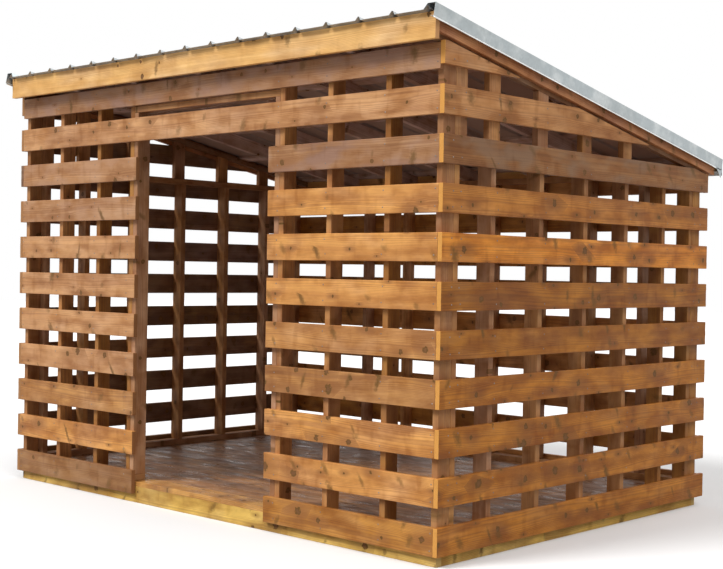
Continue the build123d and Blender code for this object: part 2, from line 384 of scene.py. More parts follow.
@dataclass(frozen=True)
class WoodFinish:
    """Stained softwood that follows the grain of each board."""

    name: str
    slot: str
    pale: Colour
    deep: Colour
    late: Colour
    grey: Colour
    end: Colour
    knot: Colour = (0.14, 0.066, 0.012)
    heart: Colour = (0.21, 0.09, 0.036)
    knots: float = 0.6
    stain_marks: float = 0.55
    mottle: float = 3.1
    bloom: float = 0.22
    bands: float = 0.36
    thick_stain: Colour = (0.73, 0.64, 0.53)
    thin_stain: Colour = (1.18, 1.25, 1.34)
    cool_tint: Colour = (1.00, 1.08, 1.38)
    warm_tint: Colour = (1.05, 0.89, 0.41)
    roughness: float = 0.55
    wet: float = 0.0
    specular: float = 0.22
    saw_marks: float = 0.0
    relief: float = 0.0007
    seed_stride: float = 41.0
    rings_per_metre: float = 175.0
    end_rise: tuple[float, float] = (-0.0022, -0.0012)

    def material(self) -> Material:
        """Builds the finish from its grain, knots and stain.

        Returns:
            The material, which reads each board's grain, stain and extent attributes.
        """
        g = Graph(bpy.data.materials.new(self.name))
        along, across, through = self._attribute(g, "grain")
        seed, light, grey = self._attribute(g, "stain")
        reach, warm, _ = self._attribute(g, "extent")
        grain = Grain(g, along + seed * self.seed_stride, across, through, seed)
        knot, core, halo, swell = self._knots(grain)
        fibre, cloud, patch = FIBRE.on(grain), CLOUD.on(grain), PATCH.on(grain)
        late = self._rings(grain, swell, fibre)

        colour = g.blend(STREAK.on(grain).step(0.32, 0.70), self.pale, self.deep)
        hue = (warm + 1.6 * (cloud - 0.5)).at_least(0.0)
        colour = g.blend(1.0, colour, g.blend(hue, self.cool_tint, self.warm_tint), "MULTIPLY")
        colour = g.blend(late * 0.40 + fibre.step(0.42, 0.85) * 0.24, colour, self.late)
        weathered = grey * (0.20 + 1.4 * (cloud * 0.5 + patch * 0.5).step(0.42, 0.60))
        bloom = cloud.step(0.52, 0.72) * self.bloom
        colour = g.blend((weathered + bloom).at_most(0.85), colour, self.grey)
        worn = 0.56 + self.mottle * (patch - 0.5) + 0.6 * self.mottle * (cloud - 0.5)
        worn = worn - BAND.on(grain).step(0.54, 0.72) * self.bands
        tint = g.blend(worn.at_least(0.0).at_most(1.0), self.thick_stain, self.thin_stain)
        colour = g.scaled(g.blend(1.0, colour, tint, "MULTIPLY"), light)
        end_colour = g.blend(late * 0.4 + patch.step(0.5, 0.8) * 0.3, self.end, self.deep)
        at_end = (along.size() - reach).step(*self.end_rise)
        for share, over in ((halo * 0.62, self.late), (self._smudge(grain), self.knot),
                            (knot, self.knot), (core, self.heart), (at_end, end_colour)):
            colour = g.blend(share, colour, over)

        rough = self.roughness + 0.16 * (cloud - 0.5) + 0.10 * (fibre - 0.5) + 0.08 * knot
        if self.wet:
            pool = g.noise(g.vector(grain.along * 5.0, across * 16.0, through), detail=3.0)
            rough = rough - self.wet * pool.step(0.42, 0.66)
        height = fibre * 0.5 - late * 0.35 - knot * 0.6
        if self.saw_marks:
            height = height + SAW_COMB.on(grain) * self.saw_marks
        return g.finish(colour, rough, height, self.relief, specular=self.specular)

    def _attribute(self, g: Graph, name: str) -> list[Value]:
        """Reads the three numbers of a vector that is written on the piece."""
        settings = {"attribute_type": "GEOMETRY", "attribute_name": name}
        return g.split(g.node("Attribute", settings).outputs["Vector"])

    def _rings(self, grain: Grain, swell: Value, fibre: Value) -> Value:
        """Growth rings about a pith that wanders beside the board.

        Args:
            grain: The place on the board.
            swell: How far a knot pushes the rings aside, in metres.
            fibre: Fine noise that roughens the rings.

        Returns:
            1 on the dark late wood and 0 between.
        """
        g = grain.graph
        wander = g.noise(g.vector(grain.along * 0.8, grain.seed * 19.0, 0.0), detail=1.0)
        side = grain.across + swell - grain.draw(7.0) * 0.12 + 0.06 - (wander - 0.5) * 0.10
        below = grain.through + 0.025 + grain.draw(13.0) * 0.06
        radius = (side * side + below * below).root() + (fibre - 0.5) * 0.0016
        ring = (radius * self.rings_per_metre).fraction()
        return ring.step(0.35, 0.88) * ring.step(1.0, 0.90)

    def _knots(self, grain: Grain) -> tuple[Value, Value, Value, Value]:
        """Round knots and what they do to the wood round them.

        Args:
            grain: The place on the board.

        Returns:
            The knot, its redder heart, its darker halo and how far the grain is pushed
            aside, in metres.
        """
        dx, dy, chance, amount, _ = KNOTS.near(grain)
        present = chance.step(1.0 - self.knots, 1.01 - self.knots)
        size = 0.75 + grain.draw(29.0) * 0.60
        radius = (0.0050 + amount * amount * 0.0150) * size
        distance = (dx * dx + dy * dy).root() / radius + KNOTS.ragged(grain) * 1.8
        drawn = (dx * dx * 0.16 + dy * dy).root() / radius
        core = distance.step(0.80, 0.30) * present * amount.step(0.25, 0.75) * 0.75
        return (distance.step(1.15, 0.75) * present, core, drawn.step(3.6, 0.6) * present,
                drawn.step(4.5, 0.5) * present * 0.006)

    def _smudge(self, grain: Grain) -> Value:
        """Dark slanting smudges, where a branch was sawn along its length.

        Args:
            grain: The place on the board.

        Returns:
            How dark the smudge is, 0 where there is none.
        """
        dx, dy, chance, amount, depth = SMUDGES.near(grain, (grain.draw(17.0) - 0.5) * 1.6)
        along, across = dx / (0.008 + amount * 0.017), dy / (0.014 + depth * 0.036)
        near = (along ** 2.0 + across ** 2.0).root() + SMUDGES.ragged(grain) * 1.6
        present = chance.step(1.0 - self.stain_marks, 1.01 - self.stain_marks)
        return near.step(1.6, 0.2) * present * (0.42 + 0.45 * depth)


@dataclass(frozen=True)
class SteelFinish:
    """Zinc-coated sheet with a dull spangle, and painted shade on its undersides under the roof.
    """

    name: str
    base: Colour
    pale: Colour
    dull: Colour
    roughness: float
    metallic: float = 0.9
    # Underside colour under the roof: painted shade and painted reflection of the brown timber, on
    # a rough backer.
    underside_painted_shade: Colour = (0.400, 0.265, 0.205)
    painted_shade_depth: float = 1.285
    spangle: float = 70.0
    relief: float = 0.002

    def material(self) -> Material:
        """Builds the finish from its spangle, bloom and runs, with a rough, unmetallic underside
        whose colour is painted shade and painted reflection of the timber.

        Returns:
            The material, which reads Object coordinates.
        """
        g = Graph(bpy.data.materials.new(self.name))
        place = g.node("TexCoord").outputs["Object"]
        x, y, z = g.split(place)
        spangle = g.node("TexVoronoi", {"feature": "F1"}, {"Vector": place, "Scale": self.spangle})
        crystal, _, _ = g.split(spangle.outputs["Color"])
        bloom = g.noise(place, scale=9.0, detail=5.0)
        cloud = g.noise(place, scale=2.1, detail=3.0)
        runs = g.noise(g.vector(x * 26.0, y * 1.6, z * 1.6), detail=3.0)
        colour = g.blend(bloom.step(0.42, 0.70), self.base, self.pale)
        colour = g.blend(cloud.step(0.45, 0.75) * 0.5, colour, self.dull)
        colour = g.blend(runs.step(0.55, 0.80) * 0.25, colour, self.dull)
        colour = g.scaled(colour, 0.95 + 0.10 * crystal)
        rough = self.roughness + 0.14 * (bloom - 0.5) + 0.10 * (crystal - 0.5)
        # Faces that look down, within the roof's depth, take the underside colour as painted
        # shade.
        facing = g.node("NewGeometry").outputs["Normal"]
        inside = y.size().step(self.painted_shade_depth + 0.004, self.painted_shade_depth)
        painted_shade_under = g.split(facing)[2].step(-0.35, -0.70) * inside
        colour = g.blend(painted_shade_under, colour, self.underside_painted_shade)
        rough = rough + painted_shade_under * (1.0 - rough)
        metallic = self.metallic - painted_shade_under * self.metallic
        height = cloud * 0.8 + crystal * 0.02
        return g.finish(colour, rough, height, self.relief, metallic=metallic)


class Wood(Enum):
    """The timbers of the store, each with its finish."""

    RIM = WoodFinish("rim_timber_finish", "rim_timber", (0.77, 0.53, 0.18), (0.61, 0.39, 0.12),
                     (0.36, 0.19, 0.05), (0.3, 0.24, 0.14), (0.6, 0.4, 0.14), knots=0.4,
                     stain_marks=0.5, roughness=0.66, saw_marks=0.5)
    DECK = WoodFinish("deck_timber_finish", "deck_timber", (0.47, 0.24, 0.125),
                      (0.3, 0.142, 0.069), (0.12, 0.056, 0.03), (0.3, 0.21, 0.16),
                      (0.26, 0.13, 0.05), stain_marks=0.2, roughness=0.48, wet=0.26, specular=0.38)
    STEP = WoodFinish("step_timber_finish", "deck_timber", (0.7, 0.41, 0.225), (0.54, 0.29, 0.14),
                      (0.28, 0.125, 0.05), (0.34, 0.24, 0.17), (0.5, 0.26, 0.09), stain_marks=0.2,
                      roughness=0.44, wet=0.2)
    FRAME = WoodFinish("frame_timber_finish", "frame_timber", (0.55, 0.285, 0.135),
                       (0.43, 0.205, 0.09), (0.26, 0.11, 0.045), (0.28, 0.19, 0.14),
                       (0.46, 0.24, 0.1), knots=0.5, stain_marks=0.25, roughness=0.6)
    # The roof timbers' finish is a paler, greyer copy of the frame timber: painted bluish fill
    # light in the shade under the roof.
    ROOF = WoodFinish("roof_timber_painted_shade_finish", "frame_timber", (0.62, 0.4, 0.27), (0.48, 0.29, 0.19),
                      (0.28, 0.16, 0.1), (0.36, 0.26, 0.21), (0.5, 0.3, 0.17), stain_marks=0.25,
                      roughness=0.65, specular=0.15)
    # The front cladding's dark end colour is partly the end grain's own and partly painted shade,
    # for the slat ends seen in shade at the doorway.
    FRONT = WoodFinish("front_cladding_finish", "front_cladding", (0.71, 0.365, 0.146),
                       (0.51, 0.232, 0.083), (0.29, 0.115, 0.038), (0.31, 0.163, 0.11),
                       (0.3, 0.13, 0.05))
    SIDE = WoodFinish("side_cladding_finish", "side_cladding", (0.57, 0.246, 0.07),
                      (0.39, 0.15, 0.038), (0.22, 0.078, 0.021), (0.25, 0.136, 0.076),
                      (0.8, 0.38, 0.085))
    # The far wall's cladding is a darker, duller copy of the side cladding: painted shade.
    FAR = WoodFinish("far_cladding_painted_shade_finish", "side_cladding", (0.34, 0.2, 0.13),
                     (0.24, 0.135, 0.085), (0.15, 0.075, 0.045), (0.2, 0.145, 0.12),
                     (0.42, 0.2, 0.07))
    FASCIA = WoodFinish("fascia_timber_finish", "fascia_timber", (0.84, 0.53, 0.235),
                        (0.72, 0.41, 0.15), (0.52, 0.25, 0.07), (0.46, 0.34, 0.22),
                        (0.66, 0.33, 0.14), knots=0.35, stain_marks=0.25, mottle=1.6, bands=0.12)
    BARGE = WoodFinish("barge_timber_finish", "barge_timber", (0.66, 0.3, 0.155), (0.5, 0.21, 0.1),
                       (0.3, 0.115, 0.05), (0.28, 0.18, 0.13), (0.5, 0.24, 0.09))


class Steel(Enum):
    """The steels of the roof and the fixings, each with its finish."""

    ROOF = SteelFinish("roof_steel_finish", (0.33, 0.35, 0.36), (0.42, 0.44, 0.45),
                       (0.25, 0.26, 0.26), 0.46, metallic=0.85)
    TRIM = SteelFinish("trim_steel_finish", (0.43, 0.47, 0.48), (0.58, 0.61, 0.61),
                       (0.35, 0.38, 0.38), 0.46)
    # The hem steel is a paler copy of the trim steel: a painted highlight along the trims' lower
    # edges.
    HEM = SteelFinish("hem_painted_highlight_finish", (0.78, 0.8, 0.79), (0.88, 0.89, 0.88),
                      (0.66, 0.68, 0.68), 0.3, metallic=1.0)
    FIXING = SteelFinish("fixing_steel_finish", (0.22, 0.19, 0.17), (0.34, 0.31, 0.28),
                         (0.13, 0.1, 0.08), 0.55)


class Finishes:
    """Every finish of the store, each material built once."""

    def __init__(self) -> None:
        """Builds the materials."""
        self.woods = {wood: wood.value.material() for wood in Wood}
        self.steels = {steel: steel.value.material() for steel in Steel}


# ---------------- modelling


class Bench:
    """Blender's own modelling tools, used on one piece at a time."""

    @staticmethod
    def clear() -> None:
        """Deselects everything."""
        bpy.ops.object.select_all(action="DESELECT")

    @staticmethod
    def pick(piece: Piece) -> None:
        """Selects one piece and makes it active.

        Args:
            piece: The piece.
        """
        Bench.clear()
        piece.select_set(True)
        bpy.context.view_layer.objects.active = piece

    @staticmethod
    @contextmanager
    def editing(piece: Piece, kind: str) -> Iterator[None]:
        """Holds a piece in edit mode.

        Args:
            piece: The piece.
            kind: What is selected: VERT, EDGE or FACE.

        Yields:
            Nothing, while the piece can be edited.
        """
        Bench.pick(piece)
        bpy.ops.object.mode_set(mode="EDIT")
        bpy.ops.mesh.select_mode(type=kind)
        yield
        bpy.ops.object.mode_set(mode="OBJECT")

    @staticmethod
    def block(low: Vector, high: Vector) -> Piece:
        """Adds a squared block, with its place in its mesh.

        Args:
            low: Its lowest corner.
            high: Its highest corner.

        Returns:
            The block.
        """
        Bench.clear()
        centre, size = (low + high) / 2, high - low
        bpy.ops.mesh.primitive_cube_add(size=1, location=centre, scale=size)
        bpy.ops.object.transform_apply(location=True, rotation=True, scale=True)
        return bpy.context.object

    @staticmethod
    def cut(piece: Piece, point: Vector, normal: Vector) -> None:
        """Saws off what lies beyond a plane and closes the end.

        Args:
            piece: The piece.
            point: A point on the plane.
            normal: The side of the plane that is taken off.
        """
        with Bench.editing(piece, "VERT"):
            bpy.ops.mesh.select_all(action="SELECT")
            bpy.ops.mesh.bisect(plane_co=point, plane_no=normal, use_fill=True,
                                clear_outer=True)

    @staticmethod
    def modify(piece: Piece, kind: str, **settings: object) -> None:
        """Adds a modifier with its settings and applies it.

        Args:
            piece: The piece.
            kind: The modifier's type.
            **settings: The modifier's settings.
        """
        Bench.pick(piece)
        modifier = piece.modifiers.new(kind.lower(), kind)
        for key, setting in settings.items():
            setattr(modifier, key, setting)
        bpy.ops.object.modifier_apply(modifier=modifier.name)

    @staticmethod
    def ease(piece: Piece, width: float, segments: int) -> None:
        """Rounds every edge that is sharp enough."""
        Bench.modify(piece, "BEVEL", width=width, segments=segments, limit_method="ANGLE",
                     angle_limit=SHARP)

    @staticmethod
    def deselect(mesh: bpy.types.Mesh) -> None:
        """Deselects every point, edge and face of a mesh."""
        for group in (mesh.vertices, mesh.edges, mesh.polygons):
            group.foreach_set("select", [False] * len(group))

    @staticmethod
    def copy(piece: Piece, place: Matrix) -> Piece:
        """Copies a piece, with a mesh of its own.

        Args:
            piece: The piece.
            place: Where the copy's mesh is moved to.

        Returns:
            The copy.
        """
        twin = piece.copy()
        twin.data = piece.data.copy()
        twin.data.transform(place)
        bpy.context.scene.collection.objects.link(twin)
        return twin

    @staticmethod
    def join(parts: Sequence[Piece], name: str) -> Piece:
        """Joins parts into one piece.

        Args:
            parts: The parts.
            name: The name of the piece.

        Returns:
            The piece.
        """
        Bench.pick(parts[0])
        for part in parts:
            part.select_set(True)
        if len(parts) > 1:
            bpy.ops.object.join()
        piece = bpy.context.object
        piece.name = piece.data.name = name
        return piece

    @staticmethod
    def paint(piece: Piece, material: Material) -> None:
        """Gives a piece one material."""
        piece.data.materials.clear()
        piece.data.materials.append(material)


@dataclass
class Board:
    """One sawn timber, with eased edges and its own grain."""

    low: Vector
    high: Vector
    tone: Tone
    cuts: list[tuple[Vector, Vector]] = field(default_factory=list)
    notches: list[Box] = field(default_factory=list)
    slope: float = 0.0
    edge: float = 0.0025
    crook: float = 0.0010
    crook_pitch: float = 0.30
    long_share: float = 0.2
    long_cosine: float = 0.9

    def saw(self, y: float, z: float, normal: Vector) -> None:
        """Takes off what lies beyond a plane through a point."""
        self.cuts.append((Vector((0.0, y, z)), normal))

    def axes(self) -> list[Vector]:
        """Finds the board's own directions from its size.

        Returns:
            The directions along, across and through the board.
        """
        size = self.high - self.low
        order = sorted(range(3), key=lambda k: -size[k])
        turn = Matrix.Rotation(self.slope, 3, "X")
        return [turn @ Vector([float(k == axis) for k in range(3)]) for axis in order]

    def model(self, rng: random.Random) -> Piece:
        """Models the board.

        Args:
            rng: The store's own random numbers.

        Returns:
            The board, with its grain marked.
        """
        piece = Bench.block(self.low, self.high)
        for point, normal in self.cuts:
            Bench.cut(piece, point, normal)
        if self.crook and not self.notches:
            self._bend(piece, rng)
        Bench.ease(piece, self.edge, segments=2)
        Bench.modify(piece, "WELD", merge_threshold=MERGE_BELOW)
        for low, high in self.notches:
            cutter = Bench.block(low, high)
            Bench.modify(piece, "BOOLEAN", object=cutter, operation="DIFFERENCE", solver="EXACT")
            bpy.data.objects.remove(cutter)
        self._mark(piece, rng.random())
        return piece

    def _bend(self, piece: Piece, rng: random.Random) -> None:
        """Divides the board along its length and sets it a little crooked.

        Args:
            piece: The board's mesh so far.
            rng: The store's own random numbers.
        """
        length = (self.high - self.low).length
        steps = int(length / self.crook_pitch)
        if steps < 1:
            return
        mesh, along = piece.data, self.axes()[0]
        Bench.deselect(mesh)
        for edge in mesh.edges:
            ends = [mesh.vertices[k] for k in edge.vertices]
            way = ends[1].co - ends[0].co
            if (abs(way.dot(along)) > self.long_cosine * way.length
                    and way.length > length * self.long_share):
                edge.select = ends[0].select = ends[1].select = True
        with Bench.editing(piece, "EDGE"):
            bpy.ops.mesh.subdivide(number_cuts=steps)
            bpy.ops.mesh.select_mode(type="VERT")
            bpy.ops.mesh.select_all(action="SELECT")
            bpy.ops.transform.vertex_random(offset=self.crook, seed=rng.randrange(10000))

    def _mark(self, piece: Piece, seed: float) -> None:
        """Writes where each point lies in the board's grain, and the board's stain.

        Args:
            piece: The finished board.
            seed: The board's own number.
        """
        mesh = piece.data
        count = len(mesh.vertices)
        points = np.empty(count * 3)
        mesh.vertices.foreach_get("co", points)
        points = points.reshape(count, 3) - np.array((self.low + self.high) / 2)
        local = points @ np.array(self.axes()).T
        reach = np.full(count, np.abs(local[:, 0]).max())
        stain = np.tile((seed, self.tone.light, self.tone.grey), (count, 1))
        extent = np.stack([reach, np.full(count, self.tone.warm), np.zeros(count)], axis=1)
        for name, values in (("grain", local), ("stain", stain), ("extent", extent)):
            layer = mesh.attributes.new(name, "FLOAT_VECTOR", "POINT")
            layer.data.foreach_set("vector", values.astype(np.float32).ravel())


class Frame:
    """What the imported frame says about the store's shape."""

    ROOF_ANGLE = math.radians(10.8)

    def __init__(self) -> None:
        """Reads the heights that the slopes hang from."""
        self.wall_low, self.wall_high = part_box("front_top_plate")
        self.fascia_low, self.fascia_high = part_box("front_fascia")
        self.down = Vector((0.0, math.cos(self.ROOF_ANGLE), -math.sin(self.ROOF_ANGLE)))
        self.up = Vector((0.0, math.sin(self.ROOF_ANGLE), math.cos(self.ROOF_ANGLE)))

    def slope_top(self, board: Board) -> None:
        """Cuts the top of a board to the roof's slope, from its front edge down."""
        board.saw(board.low.y, board.high.z, self.up)

    def roof_height(self, y: float) -> float:
        """Height of the sheets' undersides at a depth."""
        fall = math.tan(self.ROOF_ANGLE)
        return self.fascia_high.z - (y - self.fascia_low.y) * fall

    def on_roof(self, x: float, y: float, above: float) -> Matrix:
        """The place of something that stands square to the roof, above the battens."""
        point = Vector((x, y, self.roof_height(y))) + self.up * above
        return Matrix.Translation(point) @ Matrix.Rotation(-self.ROOF_ANGLE, 4, "X")

    @staticmethod
    def solids(node: str) -> list[Box]:
        """The corners of each separate solid of a node, sorted by place.

        Args:
            node: The node's name.

        Returns:
            The lowest and highest corner of each solid.
        """
        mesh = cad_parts[node].data
        keys = [tuple(round(c, 5) for c in v.co) for v in mesh.vertices]
        groups: list[set[tuple]] = []
        for face in mesh.polygons:
            corners = {keys[k] for k in face.vertices}
            touching = [group for group in groups if group & corners]
            groups = [group for group in groups if not group & corners]
            groups.append(corners.union(*touching))
        boxes = [(Vector(map(min, *group)), Vector(map(max, *group))) for group in groups]
        return sorted(boxes, key=lambda box: tuple(round(c, 3) for c in reversed(box[0])))


@dataclass
class Carpenter:
    """Models the boards of whole nodes and puts them in their places."""

    finishes: Finishes
    shape: Frame
    rng: random.Random = field(default_factory=lambda: random.Random(12))

    def piece(self, node: str, wood: Wood, tones: Tone | Sequence[Tone] = (),
              trim: Callable[[Board], None] | None = None, **sizes: float) -> None:
        """Replaces a node by boards, on their body and painted with their wood.

        Args:
            node: The node that the piece stands for.
            wood: Its wood.
            tones: One tone for all boards, or the tones from the lowest and the first on;
                others are drawn.
            trim: What sets the cuts, notches and slope of each board.
            **sizes: Other sizes of the boards.
        """
        solids = self.shape.solids(node)
        if isinstance(tones, Tone):
            tones = [tones] * len(solids)
        boards = []
        for k, (low, high) in enumerate(solids):
            tone = tones[k] if k < len(tones) else self.rng.choice(DRAWN_TONES)
            board = Board(low, high, tone, **sizes)
            if trim:
                trim(board)
            boards.append(board.model(self.rng))
        made = Bench.join(boards, node + "_boards")
        Bench.paint(made, self.finishes.woods[wood])
        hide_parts(node)
        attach(made, BODY)
        log.info("%s: %d boards, %d faces", made.name, len(boards), len(made.data.polygons))


# ---------------- sub-assemblies


@dataclass
class Base:
    """Rim, joists and deck."""

    carpenter: Carpenter
    rim_crook: float = 0.0
    deck_edge: float = 0.004
    deck_tones: tuple[Tone, ...] = (Tone.TAN, Tone.HONEY, Tone.RUST, Tone.PALE)

    def build(self) -> None:
        """Models the rim joists, the floor joists and the deck."""
        make = self.carpenter.piece
        for node in ("front_rim_joist", "back_rim_joist", "left_rim_joist",
                     "right_front_rim_joist", "right_back_rim_joist", "floor_joists"):
            make(node, Wood.RIM, Tone.HONEY, crook=self.rim_crook)
        make("front_deck_board", Wood.STEP, Tone.CHESTNUT, edge=self.deck_edge)
        tones = [self.carpenter.rng.choice(self.deck_tones)
                 for _ in self.carpenter.shape.solids("deck_boards")]
        make("deck_boards", Wood.DECK, tones, edge=self.deck_edge)


@dataclass
class WallFrames:
    """Plates, studs and the framed doorway."""

    carpenter: Carpenter
    edge: float = 0.003

    def build(self) -> None:
        """Models the frames of the four walls."""
        for node in ("front_left_bottom_plate", "front_right_bottom_plate", "back_bottom_plate",
                     "left_bottom_plate", "right_bottom_plate", "front_top_plate",
                     "back_top_plate", "left_top_plate", "right_top_plate", "front_left_studs",
                     "front_right_studs", "door_jack_studs", "door_king_studs", "door_lintel",
                     "back_studs", "left_studs", "right_studs"):
            self.carpenter.piece(node, Wood.FRAME, edge=self.edge)
        for node in ("left_gable_studs", "right_gable_studs"):
            self.carpenter.piece(node, Wood.FRAME, trim=self.carpenter.shape.slope_top,
                                 edge=self.edge)


@dataclass
class Cladding:
    """The slats of the four walls and the header board."""

    carpenter: Carpenter
    right_rise: float = 0.004
    left_rise: float = 0.023
    front_left: Sequence[Tone] = (Tone.UMBER, Tone.HONEY, Tone.BRONZE, *[Tone.SAND] * 4,
                                  *[Tone.PALE] * 2)
    front_right: Sequence[Tone] = (Tone.RUST, Tone.HONEY, Tone.HONEY, Tone.BRONZE, Tone.TAN,
                                   *[Tone.HONEY] * 3, Tone.GREY)
    right: Sequence[Tone] = (*[Tone.CHESTNUT] * 4, *[Tone.RUST] * 2, Tone.AMBER, Tone.HONEY,
                             Tone.GREY, Tone.DUSTY, Tone.ROSE)

    def build(self) -> None:
        """Models the slats."""
        make = self.carpenter.piece
        make("front_left_slats", Wood.FRONT, self.front_left)
        make("front_right_slats", Wood.FRONT, self.front_right)
        make("door_head_slat", Wood.FRONT, Tone.SAND)
        make("front_header_board", Wood.FRONT, Tone.ASH)
        make("back_slats", Wood.FRONT)
        make("right_slats", Wood.SIDE, self.right, trim=self._under_roof)
        # The left slats take the darker copy of the side cladding as painted shade.
        make("left_slats", Wood.FAR, trim=self._under_roof)

    def _under_roof(self, board: Board) -> None:
        """Cuts a side slat to the end rafter, a little above that rafter's underside.

        Args:
            board: The board, in the box of its solid.
        """
        shape = self.carpenter.shape
        edge = shape.wall_high.z + (self.left_rise if board.high.x < 0.0 else self.right_rise)
        fall = math.tan(shape.ROOF_ANGLE) * (board.high.y - shape.wall_low.y)
        if board.high.z > edge - fall:
            board.saw(shape.wall_low.y, edge, shape.up)


@dataclass
class RoofTimbers:
    """Rafters, battens, fascias and barge boards."""

    carpenter: Carpenter
    edge: float = 0.003

    def build(self) -> None:
        """Models the roof's timbers."""
        make = self.carpenter.piece
        make("rafters", Wood.ROOF, Tone.DUSTY, self._rafter, edge=self.edge)
        # The end rafters take the dark UMBER tone as painted shade, where they show under the
        # barge boards.
        make("left_end_rafter", Wood.FRAME, Tone.UMBER, self._sloping, edge=self.edge)
        make("right_end_rafter", Wood.FRAME, Tone.UMBER, self._rafter, edge=self.edge)
        make("roof_battens", Wood.ROOF, Tone.DUSTY, self._batten, edge=self.edge)
        for node in ("left_barge_board", "right_barge_board"):
            make(node, Wood.BARGE, Tone.TAN, self._sloping, edge=self.edge)
        for node in ("front_fascia", "back_fascia"):
            make(node, Wood.FASCIA, Tone.GOLD, self.carpenter.shape.slope_top, edge=self.edge)

    def _sloping(self, board: Board) -> None:
        """Makes a board that follows the roof out of its box.

        Args:
            board: The board, in the box of its solid.
        """
        shape = self.carpenter.shape
        board.slope = -shape.ROOF_ANGLE
        shape.slope_top(board)
        board.saw(board.high.y, board.low.z, -shape.up)

    def _batten(self, board: Board) -> None:
        """Makes a batten, square to the roof on all four sides, out of its box.

        Args:
            board: The board, in the box of its solid.
        """
        shape = self.carpenter.shape
        board.slope = -shape.ROOF_ANGLE
        depth, height = board.high.y - board.low.y, board.high.z - board.low.z
        cos, sin = math.cos(shape.ROOF_ANGLE), math.sin(shape.ROOF_ANGLE)
        lean = (height * cos - depth * sin) / (cos * cos - sin * sin) * sin
        for normal in (shape.up, -shape.down):
            board.saw(board.low.y + lean, board.high.z, normal)
            board.saw(board.high.y - lean, board.low.z, -normal)

    def _rafter(self, board: Board) -> None:
        """Makes a rafter and notches it over the plates.

        Args:
            board: The board, in the box of its solid.
        """
        self._sloping(board)
        room = Vector((1.0, 0.0, 0.0))
        for node in ("front_top_plate", "back_top_plate"):
            low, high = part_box(node)
            board.notches.append((low - room, high + room))


@dataclass
class RoofMetal:
    """Ribbed sheets, gable trims with folded hems, and the eave trim."""

    finishes: Finishes
    shape: Frame
    sheets: int = 4
    hem_height: float = 0.0080
    hem_depth: float = 0.0050
    hem_drop: float = 0.0360
    hem_ends: float = 0.0030
    hem_short: float = 0.0040
    hem_eased: float = 0.0014

    def build(self) -> None:
        """Dresses the folded sheets and trims and models the hems."""
        for number in range(1, self.sheets + 1):
            self._dress(f"roof_sheet_{number}", Steel.ROOF)
        for node in ("left_gable_trim", "right_gable_trim", "back_eave_trim"):
            self._dress(node, Steel.TRIM)
        self._hems()

    def _dress(self, node: str, steel: Steel) -> None:
        """Gives a node's slots one steel.

        Args:
            node: The node, which stays as it is.
            steel: Its steel.
        """
        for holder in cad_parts[node].material_slots:
            holder.material = self.finishes.steels[steel]
        log.info("%s: dressed", node)

    def _hems(self) -> None:
        """Models the rolled hem along the foot of each gable trim, in a pale steel that is a
        painted highlight.
        """
        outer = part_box("right_gable_trim")[1].x
        sheet_low, sheet_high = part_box("roof_sheet_4")
        run = sheet_high.y - self.hem_short - sheet_low.y
        length = run / math.cos(self.shape.ROOF_ANGLE)
        half, depth = self.hem_height / 2, self.hem_depth / 2
        bar = Bench.block(Vector((-depth, self.hem_ends, -half)),
                          Vector((depth, length - self.hem_ends, half)))
        Bench.ease(bar, self.hem_eased, segments=3)
        Bench.pick(bar)
        bpy.ops.object.shade_smooth_by_angle(angle=SMOOTH)
        parts = [Bench.copy(bar, self.shape.on_roof(side * (outer - depth), sheet_low.y,
                                                    -self.hem_drop - half))
                 for side in (-1.0, 1.0)]
        bpy.data.objects.remove(bar)
        hems = Bench.join(parts, "gable_trim_hems")
        Bench.paint(hems, self.finishes.steels[Steel.HEM])
        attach(hems, BODY)
        log.info("%s: %d hems", hems.name, len(parts))


@dataclass(frozen=True)
class Head:
    """The head of a nail or a screw, or a washer; the crown is a share of its height."""

    name: str
    radius: float
    height: float
    sides: int
    crown: float
    inset: float = 0.38
    rim: float = 0.8

    def model(self) -> Piece:
        """Models the head with a crowned top, standing on the origin along Z.

        Returns:
            The head.
        """
        Bench.clear()
        bpy.ops.mesh.primitive_cylinder_add(vertices=self.sides, radius=self.radius,
                                            depth=self.height,
                                            location=(0.0, 0.0, self.height / 2))
        bpy.ops.object.transform_apply(location=True, rotation=True, scale=True)
        head = bpy.context.object
        head.name = self.name
        Bench.deselect(head.data)
        top = max(head.data.polygons, key=lambda face: face.center.z)
        top.select = True
        with Bench.editing(head, "FACE"):
            bpy.ops.mesh.inset(thickness=self.radius * self.inset, depth=0.0)
        for vertex in head.data.vertices:
            if vertex.co.z > self.height / 2 and vertex.co.xy.length > self.radius * self.rim:
                vertex.co.z -= self.height * self.crown
        return head


NAIL = Head("nail_head", 0.0036, 0.0016, 8, 0.45)
WASHER = Head("washer", 0.0080, 0.0016, 10, 0.5)
HEXAGON = Head("hexagon", 0.0046, 0.0050, 6, 0.2)


